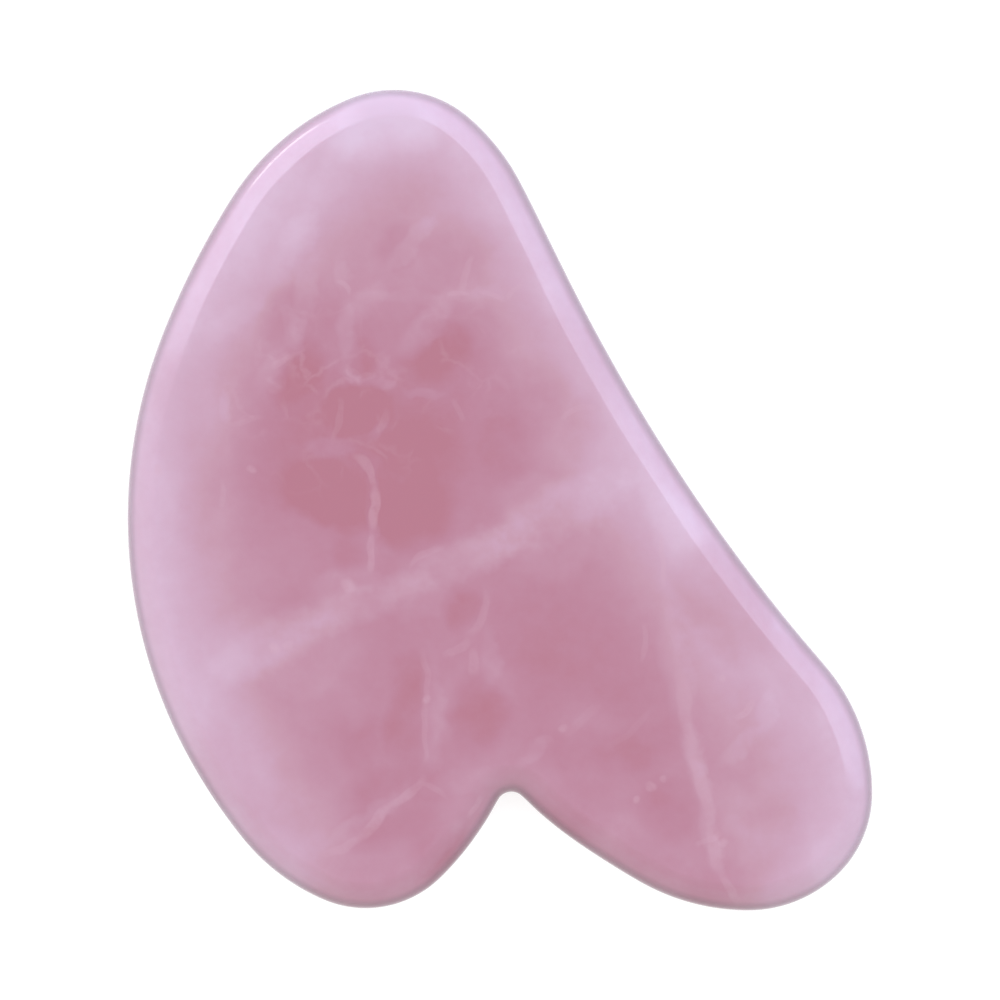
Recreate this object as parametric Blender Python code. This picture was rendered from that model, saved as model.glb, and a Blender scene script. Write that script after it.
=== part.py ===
# Gua sha scraper: one polished plate of rose quartz, lying on its back face.
#
# The plate is wing-shaped in plan. Seen from above, +X to the right and +Y up, the outline runs
# anticlockwise round a toe at the lower right, up a slightly hollow front edge to the tip, down a long
# convex back to the heel at the lower left, and through a small notch back to the toe.
# Its edge is rounded all the way round, between two flat faces.
# The origin is under the middle of the outline's box, on the back face. Units are metres.

import math

import bmesh
import bpy
import numpy as np

# Overall height and thickness.
PLATE_HEIGHT = 0.0755  # along Y, from the toe's foot to the tip's crown
PLATE_THICKNESS = 0.0060  # along Z, from face to face

# The width along X, as its steps from left to right along the lower edge.
HEEL_INSET = 0.0219  # from the back to the heel's lowest point
HEEL_TO_NOTCH = 0.0134  # on to the top of the notch
NOTCH_TO_FOOT = 0.0218  # on to the toe's lowest point
FOOT_INSET = 0.0114  # on to the toe's side
PLATE_WIDTH = HEEL_INSET + HEEL_TO_NOTCH + NOTCH_TO_FOOT + FOOT_INSET

# The outline's arcs. Each has a radius, and a start and an end given by the way the edge faces there,
# in degrees from +X. Places are measured from the sides of the outline's box.
TOE_SIDE_RADIUS = 0.0180
TOE_SIDE_ARC = (0.0, 41.0)
TOE_SIDE_RISE = 0.0108  # from the foot up to the plate's widest point on the right

FRONT_BREAK_FACING = 26.0  # the hollow front edge turns convex where it faces this way
FRONT_BREAK_AHEAD = 0.0152  # from the tip's crown, towards the toe
FRONT_BREAK_DROP = 0.0157  # from the tip's crown, down

TIP_RADIUS = 0.0106
TIP_ARC = (49.0, 112.0)
TIP_INSET = 0.0245  # from the back to the crown

BACK_RADIUS = 0.0460
BACK_ARC = (159.0, 208.0)
BACK_RISE = 0.0361  # from the foot up to the plate's widest point on the left

HEEL_RADIUS = 0.0098
HEEL_ARC = (247.0, 314.0)
HEEL_RISE = 0.0002  # the heel stops this far above the foot

NOTCH_RADIUS = 0.0014
NOTCH_ARC = (332.0, 225.0)
NOTCH_DEPTH = 0.0109  # from the foot up to the top of the notch

FOOT_RADIUS = 0.0202
FOOT_ARC = (240.0, 270.0)

# The rounded edge.
EDGE_CREASE = 14.5  # degrees between each flat face and the rounding where they meet
EDGE_STEPS = 12  # facets across the rounding

# How closely flat facets follow a round outline, and which of them are shaded as one surface.
CHORD_ERROR = 0.000012
SMOOTH_UNDER = 18.0  # degrees between two facets, less than where a flat face meets the edge
NEARLY_ZERO = 1e-9

ROSE_QUARTZ = (0.58, 0.34, 0.44, 1.0)
POLISH_ROUGHNESS = 0.1
QUARTZ_IOR = 1.544


def clear_scene():
    for old in list(bpy.data.objects):
        bpy.data.objects.remove(old, do_unlink=True)


def outward(facing):
    """The unit vector that faces this way, in radians anticlockwise from +X."""
    return np.array([math.cos(facing), math.sin(facing)])


def along(facing):
    """The way the outline runs, anticlockwise, where it faces this way."""
    return np.array([-math.sin(facing), math.cos(facing)])


def cross(a, b):
    return a[0] * b[1] - a[1] * b[0]


def lobe(anchor, anchor_facing, radius, ends):
    """A named arc, placed by one point on it. A negative radius makes it hollow."""
    start, end = (math.radians(angle) for angle in ends)
    centre = np.array(anchor) - radius * outward(math.radians(anchor_facing))
    return {"start": centre + radius * outward(start), "facing": start, "radius": radius, "sweep": end - start}


def arc_points(arc, count):
    """Points from an arc's start up to but not including its end, and the way the edge faces at each."""
    facing = arc["facing"] + arc["sweep"] * np.arange(count) / count
    centre = arc["start"] - arc["radius"] * outward(arc["facing"])
    out = np.stack([np.cos(facing), np.sin(facing)], axis=1)
    return centre + arc["radius"] * out, out


def arc_end(arc):
    """Where an arc ends, and the way it faces there."""
    end = arc["facing"] + arc["sweep"]
    centre = arc["start"] - arc["radius"] * outward(arc["facing"])
    return centre + arc["radius"] * outward(end), end


def arc_through(start, facing, end):
    """The arc that leaves start along the outline and reaches end."""
    chord = end - start
    rise = cross(along(facing), chord)
    if abs(rise) < NEARLY_ZERO:
        rise = NEARLY_ZERO  # nearly straight: an arc of a very large radius
    radius = chord @ chord / (2 * rise)
    sweep = 2 * math.atan2(rise, along(facing) @ chord)
    return {"start": start, "facing": facing, "radius": radius, "sweep": sweep}


def bridge(before, after):
    """Two arcs, tangent to each other and to the lobes before and after them.

    They meet midway between two corners, each the same distance along a lobe's own tangent.
    """
    start, start_facing = arc_end(before)
    end, end_facing = after["start"], after["facing"]
    gap = end - start
    leaving, arriving = along(start_facing), along(end_facing)
    # The distance d solves |gap - d (leaving + arriving)| = 2 d.
    both = leaving + arriving
    a = 4 - both @ both
    b = 2 * gap @ both
    if a < NEARLY_ZERO:
        d = gap @ gap / b
    else:
        d = (math.sqrt(b * b + 4 * a * (gap @ gap)) - b) / (2 * a)
    corner_a = start + d * leaving
    corner_b = end - d * arriving
    meeting = (corner_a + corner_b) / 2
    first = arc_through(start, start_facing, meeting)
    second = arc_through(meeting, first["facing"] + first["sweep"], end)
    return [first, second]


def outline_arcs():
    """The plate's outline as one closed ring of tangent arcs, anticlockwise."""
    right = PLATE_WIDTH / 2
    left = -PLATE_WIDTH / 2
    top = PLATE_HEIGHT / 2
    foot = -PLATE_HEIGHT / 2
    crown = left + TIP_INSET
    heel = left + HEEL_INSET
    front_break = (crown + FRONT_BREAK_AHEAD, top - FRONT_BREAK_DROP)
    lobes = [
        lobe((right, foot + TOE_SIDE_RISE), 0, TOE_SIDE_RADIUS, TOE_SIDE_ARC),
        lobe(front_break, FRONT_BREAK_FACING, TIP_RADIUS, (FRONT_BREAK_FACING, FRONT_BREAK_FACING)),
        lobe((crown, top), 90, TIP_RADIUS, TIP_ARC),
        lobe((left, foot + BACK_RISE), 180, BACK_RADIUS, BACK_ARC),
        lobe((heel, foot + HEEL_RISE), 270, HEEL_RADIUS, HEEL_ARC),
        lobe((heel + HEEL_TO_NOTCH, foot + NOTCH_DEPTH), 270, -NOTCH_RADIUS, NOTCH_ARC),
        lobe((right - FOOT_INSET, foot), 270, FOOT_RADIUS, FOOT_ARC),
    ]
    arcs = []
    for before, after in zip(lobes, lobes[1:] + lobes[:1]):
        arcs += [before] + bridge(before, after)
    return [arc for arc in arcs if arc["sweep"] != 0]


def outline():
    """Points round the outline, and the way its edge faces at each."""
    points, facings = [], []
    for arc in outline_arcs():
        widest_turn = 2 * math.acos(1 - CHORD_ERROR / abs(arc["radius"]))
        count = math.ceil(abs(arc["sweep"]) / widest_turn)
        arc_at, arc_out = arc_points(arc, count)
        points.append(arc_at)
        facings.append(arc_out)
    return np.concatenate(points), np.concatenate(facings)


def edge_profile():
    """The rounded edge as pairs of inset and height, from the back face up to the front face."""
    half = PLATE_THICKNESS / 2
    reach = math.radians(90 - EDGE_CREASE)
    radius = half / math.sin(reach)
    angles = np.linspace(-reach, reach, EDGE_STEPS + 1)
    return [(radius * (1 - math.cos(t)), half + radius * math.sin(t)) for t in angles]


def quartz_material():
    material = bpy.data.materials.new("rose_quartz")
    material.use_nodes = True
    shader = material.node_tree.nodes["Principled BSDF"]
    shader.inputs["Base Color"].default_value = ROSE_QUARTZ
    shader.inputs["Roughness"].default_value = POLISH_ROUGHNESS
    shader.inputs["Metallic"].default_value = 0.0
    shader.inputs["IOR"].default_value = QUARTZ_IOR
    return material


def stone_plate():
    """One ring of points for each step of the edge, joined by quads and closed by two flat faces."""
    at, out = outline()
    plate = bmesh.new()
    rings = []
    for inset, height in edge_profile():
        ring = [plate.verts.new((x, y, height)) for x, y in at - inset * out]
        rings.append(ring)
    for lower, upper in zip(rings, rings[1:]):
        for i in range(len(lower)):
            j = (i + 1) % len(lower)
            plate.faces.new((lower[i], lower[j], upper[j], upper[i]))
    plate.faces.new(list(reversed(rings[0])))
    plate.faces.new(rings[-1])
    mesh = bpy.data.meshes.new("stone_plate")
    plate.to_mesh(mesh)
    plate.free()
    mesh.shade_smooth()
    mesh.set_sharp_from_angle(angle=math.radians(SMOOTH_UNDER))
    mesh.materials.append(quartz_material())
    stone = bpy.data.objects.new("stone_plate", mesh)
    bpy.context.scene.collection.objects.link(stone)
    return stone


clear_scene()
stone_plate()
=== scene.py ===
import math

import bpy
import numpy as np
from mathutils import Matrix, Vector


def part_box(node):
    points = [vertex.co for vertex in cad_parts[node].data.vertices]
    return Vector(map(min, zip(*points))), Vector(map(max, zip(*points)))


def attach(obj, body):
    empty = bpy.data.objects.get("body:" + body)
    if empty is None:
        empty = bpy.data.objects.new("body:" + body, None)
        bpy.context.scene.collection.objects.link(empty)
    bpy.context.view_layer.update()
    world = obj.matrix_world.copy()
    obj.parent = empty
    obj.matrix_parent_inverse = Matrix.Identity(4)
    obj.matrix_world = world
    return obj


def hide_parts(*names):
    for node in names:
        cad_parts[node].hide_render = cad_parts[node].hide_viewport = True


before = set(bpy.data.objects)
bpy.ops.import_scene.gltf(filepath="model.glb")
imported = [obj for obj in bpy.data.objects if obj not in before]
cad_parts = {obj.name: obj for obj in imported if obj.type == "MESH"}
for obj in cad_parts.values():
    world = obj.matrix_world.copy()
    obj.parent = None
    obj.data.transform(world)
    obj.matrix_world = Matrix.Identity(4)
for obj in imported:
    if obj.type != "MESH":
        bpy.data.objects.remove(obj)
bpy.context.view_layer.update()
print("frame loaded")

plateNode = "stone_plate"
milli = 0.001

# The stone's shape, in metres.
stoneShape = {
    "ringSteps": 720,  # corners round the outline
    "turnShare": 0.0025,  # outline that a radian of turning counts for, so that the notch gets more corners
    "edgeSteps": 20,  # rows from the rim round to the crease
    "creaseSteps": 6,  # rows over which the crease eases into the face
    "faceSteps": 18,  # rows from there to the middle of the face
    "crease": 14.5,  # degrees between the rounding and the face
    "creaseWidth": 0.00055,  # how far the polishing wheel has softened the crease
    "waver": 0.035,  # share by which the rounding gets wider and narrower round the plate
    "waverWaves": [(5, 0.6, 1.0), (11, 2.1, 0.6), (23, 4.0, 0.4)],  # waves round it, start, size
    "faceWave": 0.000012,  # unevenness of the two faces
    # waves across them: turn for each millimetre along X and along Y, start, size
    "faceWaves": [(0.31, 0.22, 0.0, 1.0), (0.17, -0.37, 1.3, 1.0), (0.40, 0.55, 0.0, 0.5)],
    "faceHold": 6,  # how soon that unevenness dies away down the rounding
    "lookout": (-0.002, -0.010),  # a place inside from which the whole outline is in sight
    "curveSteps": 40,  # points on the smooth curve between two corners of the CAD outline
    "sameHeight": 0.00001,  # a CAD corner within this of half the height is on the outline
    "samePlace": 0.00002,  # two CAD corners within this of each other are one
    "uvGap": 0.02,  # share of the map left empty round each face
}


def outlineCorners(nodeName):
    # the node's corners at half its height, in the order they are seen in from the lookout
    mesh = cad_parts[nodeName].data
    at = np.empty(len(mesh.vertices) * 3, np.float32)
    mesh.vertices.foreach_get("co", at)
    at = at.reshape(-1, 3).astype(float)
    low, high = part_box(nodeName)
    halfway = np.abs(at[:, 2] - (low.z + high.z) / 2) < stoneShape["sameHeight"]
    ring = at[halfway, :2]
    away = ring - stoneShape["lookout"]
    ring = ring[np.argsort(np.arctan2(away[:, 1], away[:, 0]))]
    apart = np.linalg.norm(ring - np.roll(ring, 1, axis=0), axis=1) > stoneShape["samePlace"]
    return ring[apart]


def smoothCurve(corners):
    # a closed cubic through the corners whose bend is continuous:
    # p(t) = bend0 (h-t)^3/6h + bend1 t^3/6h + (p0/h - bend0 h/6)(h-t) + (p1/h - bend1 h/6) t
    after = np.roll(corners, -1, axis=0)
    h = np.linalg.norm(after - corners, axis=1)
    before = np.roll(h, 1)
    slope = (after - corners) / h[:, None]
    system = np.diag(2 * (before + h))
    index = np.arange(len(h))
    system[index, (index + 1) % len(h)] += h
    system[index, index - 1] += before
    bend0 = np.linalg.solve(system, 6 * (slope - np.roll(slope, 1, axis=0)))
    bend1 = np.roll(bend0, -1, axis=0)
    h = h[:, None, None]
    t = h * np.linspace(0, 1, stoneShape["curveSteps"], endpoint=False)[None, :, None]
    p0, p1, bend0, bend1 = (a[:, None, :] for a in (corners, after, bend0, bend1))
    curve = bend0 * (h - t) ** 3 / (6 * h) + bend1 * t**3 / (6 * h)
    curve = curve + (p0 / h - bend0 * h / 6) * (h - t) + (p1 / h - bend1 * h / 6) * t
    return curve.reshape(-1, 2)


def evenRing(curve, count):
    # the closed curve cut into equal steps of length + turnShare * turning
    closed = np.vstack([curve, curve[:1]])
    step = np.diff(closed, axis=0)
    way = np.unwrap(np.arctan2(step[:, 1], step[:, 0]))
    turning = np.abs(np.diff(way, append=way[0] + 2 * math.pi))
    run = np.r_[0, np.cumsum(np.linalg.norm(step, axis=1) + stoneShape["turnShare"] * turning)]
    want = np.linspace(0, run[-1], count, endpoint=False)
    return np.stack([np.interp(want, run, closed[:, k]) for k in (0, 1)], axis=1)


def outwardOf(ring):
    # a quarter turn clockwise from the way the ring runs
    ahead = np.roll(ring, -1, axis=0) - np.roll(ring, 1, axis=0)
    ahead /= np.linalg.norm(ahead, axis=1)[:, None]
    return np.stack([ahead[:, 1], -ahead[:, 0]], axis=1)


def edgeRun(half):
    # tilt falls from 90 degrees at the rim to the crease on one round arc, then eases to 0.
    # inset and height are the sums of cos(tilt) and sin(tilt) along the way
    crease = math.radians(stoneShape["crease"])
    left = np.linspace(1, 0, stoneShape["creaseSteps"] + 1)
    easeTilt = crease * left**2 * (3 - 2 * left)
    easeTilt = (easeTilt[1:] + easeTilt[:-1]) / 2
    step = stoneShape["creaseWidth"] / stoneShape["creaseSteps"]
    radius = (half - np.sum(step * np.sin(easeTilt))) / math.cos(crease)
    tilt = np.linspace(math.pi / 2, crease, stoneShape["edgeSteps"] + 1)
    inset = radius * (1 - np.sin(tilt))
    height = radius * np.cos(tilt)
    run = radius * (math.pi / 2 - tilt)
    inset = np.r_[inset, inset[-1] + np.cumsum(step * np.cos(easeTilt))]
    height = np.r_[height, height[-1] + np.cumsum(step * np.sin(easeTilt))]
    run = np.r_[run, run[-1] + step * np.arange(1, len(easeTilt) + 1)]
    return inset, height, run


def halfPlate(ring, out, half):
    # rows of corners from the rim in to the last row before the middle of the face:
    # row = ring - inset * out on the edge, then lookout + k (row - lookout) with k from 1 to 0,
    # and the face's waves lower its height by up to 5 times faceWave
    inset, height, run = edgeRun(half)
    turn = np.linspace(0, 2 * math.pi, len(ring), endpoint=False)
    waver = sum(size * np.sin(count * turn + start) for count, start, size in stoneShape["waverWaves"])
    share = 1 + stoneShape["waver"] * waver / 2
    edge = ring[None] - inset[:, None, None] * share[None, :, None] * out[None]
    k = np.linspace(1, 0, stoneShape["faceSteps"] + 1)[1:-1]
    lookout = np.array(stoneShape["lookout"])
    face = lookout + k[:, None, None] * (edge[-1] - lookout)[None]
    unrolled = edge[-1][None] + (run[-1] - run)[:, None, None] * out[None]
    plan = np.concatenate([edge, face])
    flat = np.concatenate([unrolled, face])
    rise = np.r_[height, np.full(len(k), height[-1])]
    rise = np.broadcast_to(rise[:, None], plan.shape[:2]).copy()
    x, y = plan[..., 0] / milli, plan[..., 1] / milli
    wave = sum(size * (np.sin(a * x + b * y + start) - 1) for a, b, start, size in stoneShape["faceWaves"])
    rise += stoneShape["faceWave"] * wave * np.clip(rise / half, 0, 1) ** stoneShape["faceHold"]
    return plan, flat, rise


def rimDistance(plan, ring):
    # the shortest way across the plate to its outline, in millimetres
    gaps = np.linalg.norm(plan.reshape(-1, 1, 2) - ring[None], axis=2).min(axis=1)
    return gaps.reshape(plan.shape[:2]) / milli


def bothFaces(rows):
    # the back face's rows from its middle out, then the front face's from the rim in
    return np.concatenate([rows[:0:-1], rows])


def plateFaces(rows, count):
    # quads between each row and the next, and a fan round the middle of each face
    grid = np.arange((2 * rows - 1) * count).reshape(-1, count)
    nextOne = np.roll(grid, -1, axis=1)
    quads = np.stack([grid[:-1], nextOne[:-1], nextOne[1:], grid[1:]], axis=-1).reshape(-1, 4)
    backPole = np.full(count, grid.size)
    frontPole = backPole + 1
    backFan = np.stack([backPole, nextOne[0], grid[0]], axis=1)
    frontFan = np.stack([frontPole, grid[-1], nextOne[-1]], axis=1)
    quadInFront = np.arange(len(quads)) >= (rows - 1) * count
    inFront = np.r_[quadInFront, np.zeros(count, bool), np.ones(count, bool)]
    return quads.tolist() + backFan.tolist() + frontFan.tolist(), inFront


def layUv(mesh, flat, inFront):
    # both halves unrolled side by side, front on the left, each stretched to its half of the square
    low, high = flat.min(axis=0), flat.max(axis=0)
    gap = stoneShape["uvGap"]
    at = gap / 2 + (1 - gap) * (flat - low) / (high - low)
    corner = np.empty(len(mesh.loops), np.int32)
    mesh.loops.foreach_get("vertex_index", corner)
    sizes = np.empty(len(mesh.polygons), np.int32)
    mesh.polygons.foreach_get("loop_total", sizes)
    front = np.repeat(inFront, sizes)
    uv = at[corner] * (0.5, 1.0)
    uv[~front, 0] += 0.5
    layer = mesh.uv_layers.new(name="OFBake")
    layer.data.foreach_set("uv", uv.astype(np.float32).ravel())


def makeStone():
    low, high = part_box(plateNode)
    half = (high.z - low.z) / 2
    ring = evenRing(smoothCurve(outlineCorners(plateNode)), stoneShape["ringSteps"])
    plan, flat, rise = halfPlate(ring, outwardOf(ring), half)
    distance = bothFaces(rimDistance(plan, ring)).reshape(-1)
    z = low.z + half + np.concatenate([-rise[:0:-1], rise]).reshape(-1)
    middle = np.array(stoneShape["lookout"])
    corners = np.c_[bothFaces(plan).reshape(-1, 2), z]
    corners = np.vstack([corners, [[*middle, low.z], [*middle, high.z]]])
    faces, inFront = plateFaces(*rise.shape)
    mesh = bpy.data.meshes.new("stone_plate_polished")
    mesh.from_pydata(corners.tolist(), [], faces)
    layUv(mesh, np.vstack([bothFaces(flat).reshape(-1, 2), middle, middle]), inFront)
    rim = mesh.attributes.new("rimDistance", "FLOAT", "POINT")
    rim.data.foreach_set("value", np.r_[distance, distance[0], distance[-1]].astype(np.float32))
    mesh.shade_smooth()
    stone = bpy.data.objects.new("stone_plate_polished", mesh)
    bpy.context.scene.collection.objects.link(stone)
    return stone


# The stone itself. Its pattern is in millimetres from the middle of the plate, +X to the toe and +Y to
# the tip. Depth is how deep the rose is: 0 is pale and 1 is the deepest.
roseQuartz = {
    # depth by distance from the rim: starts at, is full at, depth at each
    "fade": (0.5, 14.0, 0.02, 0.80),
    # regions deeper or paler than that: x, y, half length, half width, turn, strength
    "deep": [
        # the rim stays rosy along the lower side
        (-9.0, -37.0, 11.0, 10.0, 15, 0.58), (0.5, -28.0, 11.0, 12.5, 0, 0.62),
        (13.5, -35.0, 14.0, 10.0, -27, 0.55), (23.0, -38.0, 8.0, 8.0, 0, 0.24),
        (6.5, 12.0, 5.0, 9.0, 30, 0.14), (20.5, -9.5, 4.5, 8.0, 35, 0.26),
        # broad regions
        (-12.5, 5.0, 14.5, 9.5, 5, 0.15), (6.0, -14.0, 10.0, 6.5, -30, 0.08),
        (8.5, -21.8, 12.0, 6.5, -38, 0.10), (12.5, -32.5, 7.0, 2.5, -30, 0.08),
        (-11.5, 24.0, 9.0, 9.0, 0, -0.18), (24.0, -25.0, 6.0, 10.0, 10, -0.08),
        (-22.5, -13.0, 6.0, 4.0, 25, -0.16), (-16.5, -14.5, 6.0, 4.2, 20, -0.17),
        (9.0, 1.0, 5.0, 4.0, -50, -0.03), (19.0, -19.5, 4.0, 10.5, 8, -0.11),
        (-10.5, 34.2, 6.2, 4.6, 10, -0.24), (-20.5, 25.0, 4.0, 8.0, -35, -0.12),
        (2.5, 0.2, 4.5, 3.0, 20, -0.16), (0.5, 19.5, 3.6, 7.5, 25, 0.13),
        (-29.0, 9.0, 3.0, 7.0, -15, 0.10), (-19.0, -31.5, 7.0, 4.5, -40, 0.18),
        (10.4, -24.5, 7.0, 4.3, -25, 0.15), (-10.5, -28.0, 7.0, 4.2, 25, 0.26),
        (-24.5, -25.5, 7.0, 3.2, -54, 0.17), (26.0, -14.5, 6.0, 2.6, -50, 0.09),
        (-1.5, 14.5, 3.4, 5.0, 20, 0.16), (-12.5, -0.5, 5.5, 3.2, 0, 0.13),
        (-15.4, -18.7, 4.0, 3.2, 0, -0.10), (5.0, -5.4, 5.0, 2.6, 25, -0.12),
        (15.8, -2.6, 8.5, 2.6, -65, -0.11),
        # cells, upper half
        (-9.2, 23.2, 3.5, 2.4, 45, 0.13), (-7.0, 28.0, 3.5, 3.0, 30, 0.08),
        (-4.0, 23.0, 4.0, 4.0, 0, 0.13), (-20.0, 16.8, 2.4, 3.4, -10, 0.16),
        (-18.4, 11.8, 2.8, 4.2, -30, 0.19), (-12.3, 13.2, 1.6, 2.4, -15, 0.12),
        (-13.0, 8.3, 4.2, 2.8, 10, 0.20), (-6.0, 13.6, 4.2, 3.3, 20, 0.20),
        (3.0, 9.0, 4.5, 5.0, 0, 0.16), (-7.2, 4.3, 5.0, 4.6, 25, 0.10),
        (-24.5, 12.0, 3.0, 4.0, 0, 0.08), (7.5, 6.5, 2.4, 4.0, -10, 0.12),
        (-27.5, 0.5, 3.0, 8.0, 0, 0.10), (0.5, 4.5, 3.2, 4.0, 0, 0.08),
        # cells, middle
        (-16.5, 0.8, 5.0, 3.6, 0, 0.18), (-7.3, -1.5, 5.0, 3.6, 20, 0.22),
        (-24.0, -7.0, 4.0, 4.0, -20, -0.05), (-20.5, -6.0, 4.0, 3.0, 0, -0.06),
        (-14.0, -4.8, 2.2, 2.0, 0, 0.10), (-3.4, -10.0, 2.2, 2.6, -20, 0.14),
        (3.5, -15.0, 3.5, 4.0, 0, 0.02),
        # cells, lower half
        (-8.3, -19.5, 2.8, 6.5, 0, 0.19), (-11.0, -22.5, 5.5, 4.0, 0, 0.08),
        (-2.2, -19.3, 3.5, 4.8, 0, 0.19), (12.0, -23.0, 5.0, 3.0, 30, 0.10),
        (15.5, -28.5, 3.4, 4.0, 20, 0.12), (-18.0, -27.0, 4.0, 5.0, 0, 0.10),
        (23.5, -26.7, 4.0, 2.5, 0, -0.08), (25.3, -31.0, 3.6, 4.5, 0, 0.12),
    ],
    # healed seams, broad and pale: from x, y to x, y, half width, strength
    "seams": [
        (-29.0, -17.8, -12.0, -8.2, 2.7, 0.45), (-21.0, -12.6, -5.0, -6.8, 2.3, 0.52),
        (-12.5, -9.2, 5.0, -1.8, 2.5, 0.60), (-4.0, -5.8, 13.5, 2.9, 3.1, 0.62),
        (-18.4, -8.4, -10.2, -6.8, 1.9, 0.42), (-10.6, -10.2, -3.2, -8.4, 2.0, 0.32),
        (-3.5, 20.0, -9.6, 12.2, 1.7, 0.42), (-10.0, 20.5, -14.8, 15.2, 1.5, 0.30),
        (-14.8, 17.0, -12.6, 10.0, 1.2, 0.18), (-12.8, 34.5, -17.8, 25.5, 2.0, 0.20),
        (-16.8, 27.5, -21.2, 18.5, 1.8, 0.40), (-20.2, 19.3, -18.0, 12.2, 0.9, 0.30),
        (-20.8, 19.3, -27.5, 14.2, 1.3, 0.20), (-11.2, 20.3, -5.5, 26.5, 1.1, 0.35),
        (-17.2, 23.0, -18.3, 16.0, 1.4, 0.32), (-18.7, 18.2, -18.4, 14.0, 0.9, 0.26),
        (-18.3, 14.8, -22.8, 10.0, 1.0, 0.26), (-15.0, 22.8, -13.8, 18.8, 0.8, 0.24),
        (-13.9, 19.8, -14.4, 11.6, 0.9, 0.24), (-14.4, 18.7, -4.6, 18.5, 0.8, 0.14),
        (-4.8, 18.4, 1.0, 19.2, 0.8, 0.20), (-14.6, 12.2, -12.4, 10.4, 0.8, 0.25),
        (-13.2, 10.7, -9.2, 10.4, 0.8, 0.30), (-9.6, 10.2, -4.6, 9.4, 0.7, 0.35),
        (-15.0, 10.6, -15.2, 5.0, 0.9, 0.20), (-10.0, 9.6, -12.0, 5.2, 0.9, 0.22),
        (-25.0, 10.4, -25.0, 6.4, 0.7, 0.30), (-7.0, -25.4, -16.8, -32.6, 1.1, 0.40),
        (-6.3, -12.0, -6.0, -26.5, 1.3, 0.20), (-1.2, -11.0, -0.6, -17.5, 1.2, 0.30),
        (-8.2, -26.4, 0.6, -25.2, 1.4, 0.22), (1.3, -25.2, 4.2, -21.2, 1.0, 0.30),
        (15.0, -8.5, 17.4, -22.0, 1.9, 0.30), (17.0, -19.5, 18.9, -28.5, 1.3, 0.55),
        (24.6, -17.0, 24.1, -21.5, 1.2, 0.30), (24.6, -20.2, 19.5, -24.8, 1.1, 0.35),
        (18.4, -26.5, 20.2, -35.5, 1.0, 0.40), (-18.5, 5.2, -12.4, 4.4, 1.1, 0.34),
        (-11.8, 4.0, -11.6, -6.5, 0.9, 0.25), (3.5, -26.5, 13.5, -33.5, 1.6, 0.18),
        (-3.0, -29.0, -7.5, -34.5, 1.4, 0.35),
    ],
    "seamDrop": 0.42,  # how much less deep a full seam is
    # thin pale veins: from x, y to x, y, sideways bow, half width, strength
    "veins": [
        (-13.6, 4.2, -11.4, 1.0, 0.5, 0.47, 0.37), (-11.4, 1.6, -11.6, -3.2, 0.1, 0.53, 0.50),
        (-11.6, -2.8, -12.0, -6.9, 0.1, 0.47, 0.43), (-14.7, 9.6, -15.2, 5.0, 0.1, 0.35, 0.20),
        (-10.1, 8.6, -11.5, 5.9, 0.2, 0.40, 0.15), (-25.0, 9.9, -25.1, 6.8, 0.2, 0.35, 0.16),
        (-25.1, 6.9, -21.4, 7.6, -0.2, 0.35, 0.18), (-20.9, 11.9, -19.1, 13.3, 0.1, 0.42, 0.31),
        (-15.0, 20.0, -13.7, 18.8, 0.4, 0.36, 0.37), (-2.6, 22.6, -3.7, 18.9, 0.1, 0.42, 0.31),
        (-4.9, 18.8, -2.7, 18.9, 0.2, 0.31, 0.37), (-2.3, 19.4, 0.7, 18.0, 0.2, 0.31, 0.37),
        (0.5, 18.0, 2.1, 19.7, 0.2, 0.31, 0.31), (-4.4, 9.3, -3.2, 6.9, 0.1, 0.35, 0.20),
        (5.2, 7.1, 9.1, 8.4, 0.6, 0.40, 0.28), (-8.5, -6.2, -5.1, -3.9, 0.2, 0.36, 0.31),
        (-1.2, -7.9, -2.8, -12.9, 0.4, 0.50, 0.26), (-2.5, -12.7, -5.6, -14.4, 0.2, 0.42, 0.26),
        (-2.7, -13.4, -2.3, -16.4, -0.1, 0.55, 0.30), (-6.9, -13.4, -6.8, -19.1, 0.2, 0.40, 0.26),
        (-6.8, -17.9, -6.9, -24.6, 0.1, 0.31, 0.25), (-6.5, -24.9, -10.6, -28.4, 0.3, 0.53, 0.37),
        (-9.9, -27.9, -13.1, -31.1, 0.1, 0.63, 0.43), (-12.4, -30.7, -16.6, -32.7, 0.2, 0.53, 0.31),
        (-7.1, -25.7, -4.7, -27.3, 0.1, 0.36, 0.25), (-1.4, -26.9, -2.9, -29.4, 0.1, 0.36, 0.37),
        (14.5, -2.4, 14.8, -8.4, 0.1, 0.36, 0.37), (13.3, -10.9, 12.9, -15.1, 0.1, 0.31, 0.22),
        (14.8, -7.9, 16.4, -15.6, 0.1, 0.50, 0.20), (16.2, -14.9, 17.6, -23.6, 0.1, 0.70, 0.28),
        (17.4, -22.9, 19.4, -29.6, 0.1, 0.70, 0.32), (19.2, -28.9, 20.3, -34.6, -0.2, 0.60, 0.34),
        (20.1, -34.1, 22.4, -37.5, -0.2, 0.45, 0.34), (17.9, -31.9, 20.3, -30.3, 0.1, 0.31, 0.25),
        (21.1, -20.0, 23.4, -18.1, -0.3, 0.36, 0.50), (9.4, -18.2, 5.7, -21.7, 0.2, 0.53, 0.14),
        (14.1, -18.9, 9.7, -22.9, 0.2, 0.42, 0.12), (2.9, -22.1, 5.1, -21.9, 0.1, 0.42, 0.14),
        (-14.4, 11.9, -12.8, 10.7, 0.1, 0.40, 0.18), (-13.4, 10.6, -11.1, 11.6, 0.1, 0.42, 0.18),
        (-25.4, 2.1, -25.5, -1.1, 0.1, 0.27, 0.19),
    ],
    # bright specks: x, y, radius, strength
    "specks": [
        (-31.2, 2.7, 0.6, 0.5), (-22.7, 2.8, 0.5, 0.5), (-20.6, -13.6, 0.7, 0.6),
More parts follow.
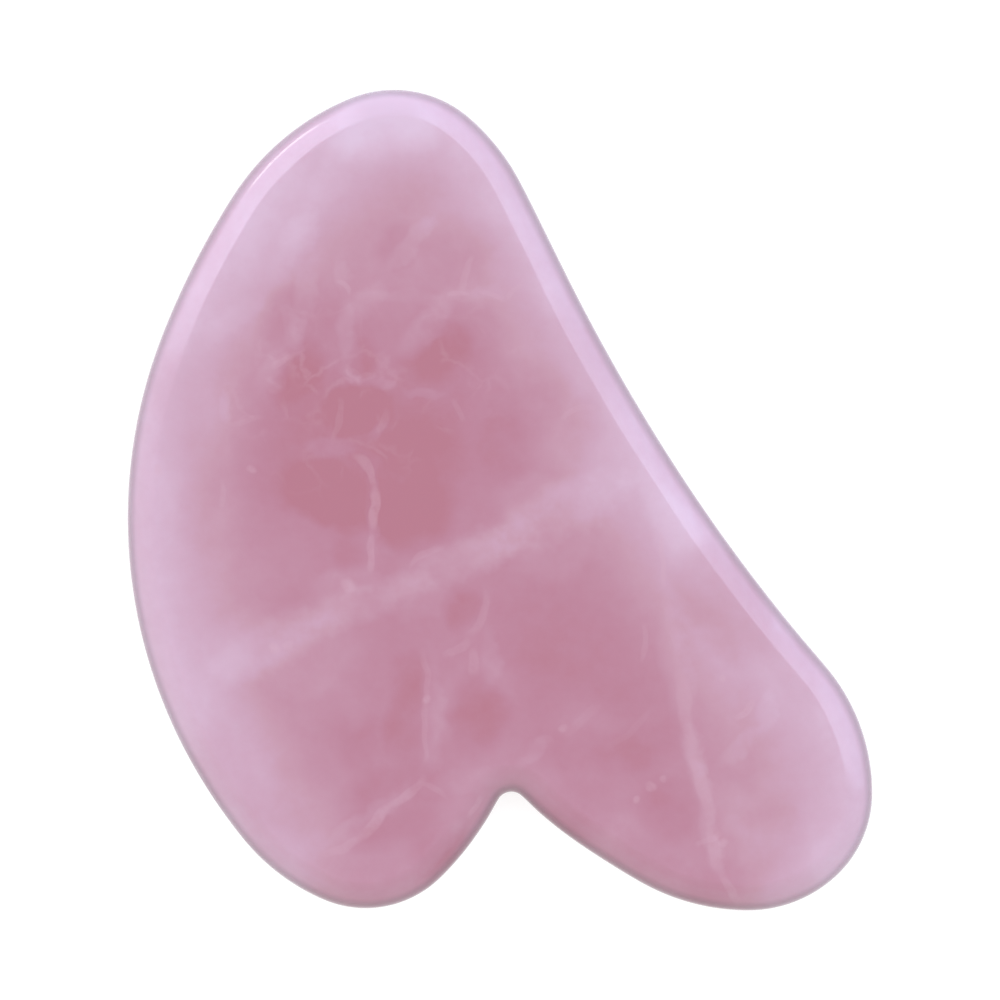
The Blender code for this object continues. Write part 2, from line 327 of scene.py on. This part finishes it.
        (-19.4, -13.3, 0.6, 0.5), (-14.0, -7.6, 0.8, 0.6), (12.3, -27.4, 0.5, 0.5),
        (13.7, -26.1, 0.6, 0.5), (15.0, -25.6, 0.4, 0.4), (5.8, -20.9, 0.5, 0.4),
        (-6.7, -18.2, 0.5, 0.5), (20.3, -31.3, 0.6, 0.5), (20.5, -16.3, 0.4, 0.5),
    ],
    # a net of hairline cracks: cells for each millimetre, width, strength, and the regions it is in
    "net": (0.30, 0.10, 0.32),
    "netted": [(-15, 10, 15, 11, 0, 0.9), (-2, 14, 9, 9, 0, 0.5)],
    "veinCore": 0.7,  # a vein is at full strength where (1 - x^2)(1 - d^2) is more than this
    "lineStrength": 0.60,  # how far veins, specks and cracks turn to the vein's own colour
    "slant": (0.35, -0.25),  # millimetres that the pattern moves sideways for each one down into the stone
    # noises that edges and lines wander by: scale, detail, millimetres
    "broad": (0.22, 2.5, 3.0),
    "ragged": (0.45, 2.5, 2.0),
    "gentle": (0.40, 1.0, 1.1),
    "wanderRoughness": 0.55,
    # noises added to the depth: scale, detail, roughness, amount
    "cloud": (0.16, 4.0, 0.6, 0.18),
    "mottle": (0.9, 3.0, 0.6, 0.12),
    # noises that leave only a share of something: scale, detail, roughness, least at, full at, least share
    "worn": (0.6, 2.0, 0.5, 0.30, 0.65, 0.72),
    "patchy": (0.3, 2.0, 0.5, 0.42, 0.62, 0.0),
    "broken": (1.1, 3.0, 0.7, 0.25, 0.60, 0.55),
    # how much red, green and blue the stone gives back, by depth
    "depths": [
        (-0.12, (0.433, 0.328, 0.422)),
        (0.00, (0.412, 0.292, 0.378)),
        (0.15, (0.380, 0.248, 0.325)),
        (0.32, (0.356, 0.214, 0.285)),
        (0.50, (0.333, 0.181, 0.239)),
        (0.68, (0.310, 0.150, 0.207)),
        (0.86, (0.291, 0.123, 0.176)),
        (1.00, (0.276, 0.102, 0.142)),
    ],
    "veinColour": (0.400, 0.250, 0.305, 1),
    # painted shade on the outer rim: the colour is darkest up to here and no darker from here, in
    # millimetres, and keeps this share there
    "paintedRimShade": (0.25, 1.05, 0.67),
    "polish": (0.8, 4.0, 0.6),  # noise that the polish varies by: scale, detail, roughness
    "polishRange": (0.3, 0.7),  # between these values of it
    "roughness": (0.07, 0.14),  # from the best polish to the worst
    "ior": 1.544,
    "subsurface": 0.15,
    "subsurfaceScale": 0.0015,
    "subsurfaceRadius": (1.0, 0.45, 0.6),
}


def feed(tree, node, feeds):
    # sockets fed by another node's output or set to a value
    for name, source in feeds.items():
        if isinstance(source, bpy.types.NodeSocket):
            tree.links.new(source, node.inputs[name])
        else:
            node.inputs[name].default_value = source


def put(tree, kind, feeds=None, **settings):
    # a new node with its settings, and then its sockets
    node = tree.nodes.new(kind)
    for name, value in settings.items():
        setattr(node, name, value)
    feed(tree, node, feeds or {})
    return node


def maths(tree, operation, a, b=0.0, c=0.0, clamp=False):
    return put(tree, "ShaderNodeMath", {0: a, 1: b, 2: c}, operation=operation, use_clamp=clamp).outputs[0]


def vectorMaths(tree, operation, feeds):
    return put(tree, "ShaderNodeVectorMath", feeds, operation=operation).outputs[0]


def dot(tree, a, b):
    return put(tree, "ShaderNodeVectorMath", {0: a, 1: b}, operation="DOT_PRODUCT").outputs["Value"]


def partOf(tree, vector, axis):
    # a vector's X, Y or Z as its product with that axis
    return dot(tree, vector, [float(k == axis) for k in range(3)])


def rangeOf(tree, value, low, high, start, end, kind="SMOOTHSTEP"):
    feeds = {0: value, 1: low, 2: high, 3: start, 4: end}
    return put(tree, "ShaderNodeMapRange", feeds, interpolation_type=kind).outputs[0]


def noiseOf(tree, place, scale, detail, roughness):
    feeds = {"Vector": place, "Scale": scale, "Detail": detail, "Roughness": roughness}
    return put(tree, "ShaderNodeTexNoise", feeds).outputs[0]


def noiseShare(tree, place, scale, detail, roughness, low, high, least):
    # least where the noise is low, 1 where it is high
    return rangeOf(tree, noiseOf(tree, place, scale, detail, roughness), low, high, least, 1.0)


def addNoise(tree, total, place, scale, detail, roughness, amount):
    # total + amount * (noise - 1/2)
    noise = noiseOf(tree, place, scale, detail, roughness)
    return maths(tree, "ADD", total, maths(tree, "MULTIPLY_ADD", noise, amount, -amount / 2))


def newGroup(name, inputs, output):
    tree = bpy.data.node_groups.new(name, "ShaderNodeTree")
    for socket, kind in inputs:
        tree.interface.new_socket(socket, in_out="INPUT", socket_type="NodeSocket" + kind)
    tree.interface.new_socket(output, in_out="OUTPUT", socket_type="NodeSocketVector")
    return tree, tree.nodes.new("NodeGroupInput").outputs, tree.nodes.new("NodeGroupOutput").inputs


# Patches and veins follow one another through Run: X and Y of the place, with the total so far as its Z.
runInputs = [(name, "Vector") for name in ("Run", "Centre", "Along", "Across", "Strength")]


def ownPlace(tree, given):
    # x and y of a patch's own square, which runs from -1 to 1 both ways
    near = vectorMaths(tree, "SUBTRACT", {0: given["Run"], 1: given["Centre"]})
    return dot(tree, near, given["Along"]), dot(tree, near, given["Across"])


def ownAxes(length, width, turn):
    # a patch's two directions, each divided by how far it reaches that way
    c, s = math.cos(turn), math.sin(turn)
    return {"Along": (c / length, s / length, 0), "Across": (-s / width, c / width, 0)}


def addMask(tree, mask, given, result):
    feeds = {0: mask, 1: given["Strength"], 2: given["Run"]}
    tree.links.new(vectorMaths(tree, "MULTIPLY_ADD", feeds), result["Run"])


def hump(tree, x):
    # 1 - x^2, and no less than 0
    return maths(tree, "MULTIPLY_ADD", x, maths(tree, "MULTIPLY", x, -1.0), 1.0, clamp=True)


def patchGroup():
    # Run + Strength * smooth(1 - x^2 - y^2), x and y measured from Centre by Along and Across
    tree, given, result = newGroup("soft patch", runInputs, "Run")
    x, y = ownPlace(tree, given)
    square = maths(tree, "MULTIPLY_ADD", x, x, maths(tree, "MULTIPLY", y, y))
    addMask(tree, rangeOf(tree, square, 0.0, 1.0, 1.0, 0.0), given, result)
    return tree


def veinGroup():
    # Run + Strength * smooth((1 - x^2)(1 - d^2)), where d = Bow (1 - x^2) - y
    tree, given, result = newGroup("thin vein", runInputs + [("Bow", "Float")], "Run")
    x, y = ownPlace(tree, given)
    ends = hump(tree, x)
    aside = maths(tree, "MULTIPLY_ADD", ends, given["Bow"], maths(tree, "MULTIPLY", y, -1.0))
    both = maths(tree, "MULTIPLY", hump(tree, aside), ends)
    addMask(tree, rangeOf(tree, both, 0.0, roseQuartz["veinCore"], 0.0, 1.0), given, result)
    return tree


def wanderGroup():
    # Place + Amount * (noise - 1/2), so that edges and lines wander
    inputs = [("Place", "Vector"), ("Scale", "Float"), ("Detail", "Float"), ("Amount", "Float")]
    tree, given, result = newGroup("wander", inputs, "Place")
    feeds = {"Vector": given["Place"], "Scale": given["Scale"], "Detail": given["Detail"]}
    feeds["Roughness"] = roseQuartz["wanderRoughness"]
    noise = put(tree, "ShaderNodeTexNoise", feeds).outputs["Color"]
    centred = vectorMaths(tree, "SUBTRACT", {0: noise, 1: (0.5, 0.5, 0.5)})
    shift = vectorMaths(tree, "SCALE", {0: centred, "Scale": given["Amount"]})
    tree.links.new(vectorMaths(tree, "ADD", {0: given["Place"], 1: shift}), result["Place"])
    return tree


def wandering(tree, group, place, scale, detail, amount):
    feeds = {"Place": place, "Scale": scale, "Detail": detail, "Amount": amount}
    return put(tree, "ShaderNodeGroup", feeds, node_tree=group).outputs["Place"]


def startRun(tree, place, total):
    plan = vectorMaths(tree, "MULTIPLY", {0: place, 1: (1, 1, 0)})
    return vectorMaths(tree, "MULTIPLY_ADD", {0: (0, 0, 1), 1: total, 2: plan})


def addPatches(tree, group, place, patches, total=(0, 0, 0)):
    run = startRun(tree, place, total)
    for x, y, length, width, turn, strength in patches:
        feeds = ownAxes(length, width, math.radians(turn))
        feeds.update({"Run": run, "Centre": (x, y, 0), "Strength": (0, 0, strength)})
        run = put(tree, "ShaderNodeGroup", feeds, node_tree=group).outputs["Run"]
    return partOf(tree, run, 2)


def asPatch(x0, y0, x1, y1, width, strength):
    # a seam as a long patch from one end to the other
    length = math.hypot(x1 - x0, y1 - y0) / 2
    turn = math.degrees(math.atan2(y1 - y0, x1 - x0))
    return (x0 + x1) / 2, (y0 + y1) / 2, length, width, turn, strength


def addVeins(tree, group, place, veins, total):
    run = startRun(tree, place, total)
    for x0, y0, x1, y1, bow, width, strength in veins:
        feeds = ownAxes(math.hypot(x1 - x0, y1 - y0) / 2, width, math.atan2(y1 - y0, x1 - x0))
        feeds.update({"Run": run, "Centre": ((x0 + x1) / 2, (y0 + y1) / 2, 0)})
        feeds.update({"Strength": (0, 0, strength), "Bow": bow / width})
        run = put(tree, "ShaderNodeGroup", feeds, node_tree=group).outputs["Run"]
    return partOf(tree, run, 2)


def stonePlace(tree):
    # the pattern's own place: millimetres, leaning a little through the thickness
    coords = put(tree, "ShaderNodeTexCoord").outputs["Object"]
    inMilli = vectorMaths(tree, "SCALE", {0: coords, "Scale": 1 / milli})
    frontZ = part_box(plateNode)[1].z / milli
    down = maths(tree, "SUBTRACT", frontZ, partOf(tree, inMilli, 2))
    lean = vectorMaths(tree, "SCALE", {0: (*roseQuartz["slant"], 0), "Scale": down})
    return vectorMaths(tree, "ADD", {0: inMilli, 1: lean})


def roseDepth(tree, place, rim, broad, ragged, patch):
    # rim fade + cloud + regions - seams + mottle
    starts, full, atRim, atFull = roseQuartz["fade"]
    depth = rangeOf(tree, rim, starts, full, atRim, atFull)
    depth = addNoise(tree, depth, place, *roseQuartz["cloud"])
    depth = addPatches(tree, patch, broad, roseQuartz["deep"], depth)
    seams = addPatches(tree, patch, ragged, [asPatch(*seam) for seam in roseQuartz["seams"]])
    seams = maths(tree, "MINIMUM", seams, 1.0)
    seams = maths(tree, "MULTIPLY", seams, noiseShare(tree, place, *roseQuartz["worn"]))
    depth = maths(tree, "MULTIPLY_ADD", seams, -roseQuartz["seamDrop"], depth)
    return addNoise(tree, depth, place, *roseQuartz["mottle"])


def depthColour(tree, depth):
    depths = roseQuartz["depths"]
    palest, deepest = depths[0][0], depths[-1][0]
    ramp = put(tree, "ShaderNodeValToRGB", {0: rangeOf(tree, depth, palest, deepest, 0.0, 1.0, "LINEAR")})
    stops = ramp.color_ramp.elements
    for depthHere, shade in depths[1:-1]:
        stops.new((depthHere - palest) / (deepest - palest))
    for stop, (depthHere, shade) in zip(stops, depths):
        stop.color = (*shade, 1)
    return ramp.outputs["Color"]


def paleLines(tree, place, ragged, gentle, patch, vein):
    # how strongly veins, specks and the net of hairline cracks show, 0 to 1
    scale, width, netStrength = roseQuartz["net"]
    feeds = {"Vector": ragged, "Scale": scale}
    cells = put(tree, "ShaderNodeTexVoronoi", feeds, feature="DISTANCE_TO_EDGE").outputs["Distance"]
    net = rangeOf(tree, cells, 0.0, width, 1.0, 0.0)
    net = maths(tree, "MULTIPLY", net, addPatches(tree, patch, place, roseQuartz["netted"]))
    net = maths(tree, "MULTIPLY", net, noiseShare(tree, place, *roseQuartz["patchy"]))
    net = maths(tree, "MULTIPLY", net, netStrength)
    lines = addVeins(tree, vein, gentle, roseQuartz["veins"], net)
    specks = [(x, y, radius, radius, 0, strength) for x, y, radius, strength in roseQuartz["specks"]]
    lines = addPatches(tree, patch, gentle, specks, lines)
    lines = maths(tree, "MULTIPLY", lines, noiseShare(tree, place, *roseQuartz["broken"]), clamp=True)
    return maths(tree, "MULTIPLY", lines, roseQuartz["lineStrength"])


def quartzMaterial():
    material = bpy.data.materials.new("rose_quartz_polished")
    material.use_nodes = True
    tree = material.node_tree
    patch, vein, wander = patchGroup(), veinGroup(), wanderGroup()
    place = stonePlace(tree)
    ways = ("broad", "ragged", "gentle")
    broad, ragged, gentle = (wandering(tree, wander, place, *roseQuartz[way]) for way in ways)
    rim = put(tree, "ShaderNodeAttribute", attribute_name="rimDistance").outputs["Fac"]

    colour = depthColour(tree, roseDepth(tree, place, rim, broad, ragged, patch))
    # painted shade: the colour is darkened toward the outline, standing in for the rim turning away from
    # the light
    starts, ends, share = roseQuartz["paintedRimShade"]
    thin = rangeOf(tree, rim, starts, ends, share, 1.0)
    colour = vectorMaths(tree, "SCALE", {0: colour, "Scale": thin})
    lines = paleLines(tree, place, ragged, gentle, patch, vein)
    feeds = {0: lines, 6: colour, 7: roseQuartz["veinColour"]}
    colour = put(tree, "ShaderNodeMix", feeds, data_type="RGBA").outputs[2]
    polish = noiseOf(tree, place, *roseQuartz["polish"])

    feed(tree, tree.nodes["Principled BSDF"], {
        "Base Color": colour,
        "Roughness": rangeOf(tree, polish, *roseQuartz["polishRange"], *roseQuartz["roughness"], "LINEAR"),
        "Metallic": 0.0,
        "IOR": roseQuartz["ior"],
        "Subsurface Weight": roseQuartz["subsurface"],
        "Subsurface Scale": roseQuartz["subsurfaceScale"],
        "Subsurface Radius": roseQuartz["subsurfaceRadius"],
    })
    return material


stone = makeStone()
stone.data.materials.append(quartzMaterial())
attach(stone, "root")
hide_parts(plateNode)
print("stone made:", len(stone.data.vertices), "corners")

# The table, the light and the camera.
studio = {
    "tableSize": 3.0,
    "tableSteps": 41,  # corners along each side
    "tableFlat": 0.5,  # share of its half width that stays flat
    "tableDrop": 0.3,  # how far it curves down beyond that, out of sight
    "tableGap": 0.00002,  # how far it lies under the stone
    "tableColour": (0.25, 0.25, 0.25, 1),
    "tableRoughness": 0.9,
    "tableGlow": 0.80,  # the sheet is lit from below, so that nothing casts a dark shadow on it
    "sky": (1.24, 1.17, 1.08),
    # Lit panels round the stone. Plan is the directions from and to, anticlockwise from +X, soft is how
    # gently each of them ends, and height is from and to, all in degrees. Foot is the share of the light
    # at the lower edge, which grows to all of it at the upper one.
    "panels": [
        {"plan": (-1, 76), "soft": (1.5, 9), "height": (2, 74), "foot": 0.55, "light": 3.8,
         "colour": (0.78, 0.84, 1.0)},
        {"plan": (114, 158), "soft": (9, 7), "height": (2, 72), "foot": 0.72, "light": 4.3,
         "colour": (0.87, 0.86, 1.0)},
        {"plan": (196, 300), "soft": (12, 12), "height": (1, 40), "foot": 1.00, "light": 1.4,
         "colour": (1.0, 1.0, 1.0)},
        {"plan": (122, 142), "soft": (3, 3), "height": (2, 9), "foot": 1.00, "light": 8.0,
         "colour": (1.0, 1.0, 1.0)},
    ],
    "planStart": -30.0,  # directions are counted from here, where no panel is
    "heightSoft": (0.5, 2.0),  # how gently every panel ends below and above, in degrees
    "lens": 200.0,
    "sensor": 36.0,
    "viewWidth": 0.092,  # what the view takes in, at the rim's height
}


def makeTable():
    # a sheet with edges dropped out of sight: z = top - drop * (r - flat)^4 where r is beyond flat
    steps = np.linspace(-1, 1, studio["tableSteps"])
    x, y = np.meshgrid(steps, steps)
    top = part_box(plateNode)[0].z - studio["tableGap"]
    z = top - studio["tableDrop"] * np.clip(np.hypot(x, y) - studio["tableFlat"], 0, None) ** 4
    half = studio["tableSize"] / 2
    corners = np.stack([x * half, y * half, z], axis=-1).reshape(-1, 3)
    grid = np.arange(len(corners)).reshape(len(steps), -1)
    quads = np.stack([grid[:-1, :-1], grid[:-1, 1:], grid[1:, 1:], grid[1:, :-1]], axis=-1).reshape(-1, 4)
    mesh = bpy.data.meshes.new("table")
    mesh.from_pydata(corners.tolist(), [], quads.tolist())
    mesh.shade_smooth()
    mesh.materials.append(tableMaterial())
    table = bpy.data.objects.new("table", mesh)
    bpy.context.scene.collection.objects.link(table)


def tableMaterial():
    material = bpy.data.materials.new("matt_white_board")
    material.use_nodes = True
    feed(material.node_tree, material.node_tree.nodes["Principled BSDF"], {
        "Base Color": studio["tableColour"],
        "Roughness": studio["tableRoughness"],
        "Emission Color": (1, 1, 1, 1),
        "Emission Strength": studio["tableGlow"],
    })
    return material


def litShare(tree, value, span, soft):
    # rises from 0 to 1 at the span's start and falls back at its end
    (start, end), (startSoft, endSoft) = span, soft
    rising = rangeOf(tree, value, start - startSoft, start + startSoft, 0.0, 1.0)
    falling = rangeOf(tree, value, end - endSoft, end + endSoft, 1.0, 0.0)
    return maths(tree, "MULTIPLY", rising, falling)


def makeSky():
    # even light from all round, and over it each panel's own
    world = bpy.data.worlds.new("studio")
    world.use_nodes = True
    tree = world.node_tree
    toward = put(tree, "ShaderNodeTexCoord").outputs["Generated"]
    x, y, z = (partOf(tree, toward, axis) for axis in range(3))
    height = maths(tree, "DEGREES", maths(tree, "ARCSINE", z))
    plan = maths(tree, "DEGREES", maths(tree, "ARCTAN2", y, x))
    plan = maths(tree, "WRAP", plan, studio["planStart"] + 360, studio["planStart"])
    light = studio["sky"]
    for panel in studio["panels"]:
        inPlan = litShare(tree, plan, panel["plan"], panel["soft"])
        inHeight = litShare(tree, height, panel["height"], studio["heightSoft"])
        strength = rangeOf(tree, height, *panel["height"], panel["foot"], 1.0, "LINEAR")
        strength = maths(tree, "MULTIPLY", strength, panel["light"])
        own = vectorMaths(tree, "SCALE", {0: panel["colour"], "Scale": strength})
        lit = maths(tree, "MULTIPLY", inPlan, inHeight)
        light = put(tree, "ShaderNodeMix", {0: lit, 4: light, 5: own}, data_type="VECTOR").outputs[1]
    feed(tree, tree.nodes["Background"], {"Color": light, "Strength": 1.0})
    bpy.context.scene.world = world


def makeCamera():
    low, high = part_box(plateNode)
    middle = (low + high) / 2
    data = bpy.data.cameras.new("camera")
    data.lens = studio["lens"]
    data.sensor_width = studio["sensor"]
    camera = bpy.data.objects.new("camera", data)
    camera.location = (middle.x, middle.y, middle.z + studio["viewWidth"] * data.lens / data.sensor_width)
    bpy.context.scene.collection.objects.link(camera)
    bpy.context.scene.camera = camera


makeTable()
makeSky()
makeCamera()
bpy.context.scene.view_settings.view_transform = "Standard"
print("studio made")
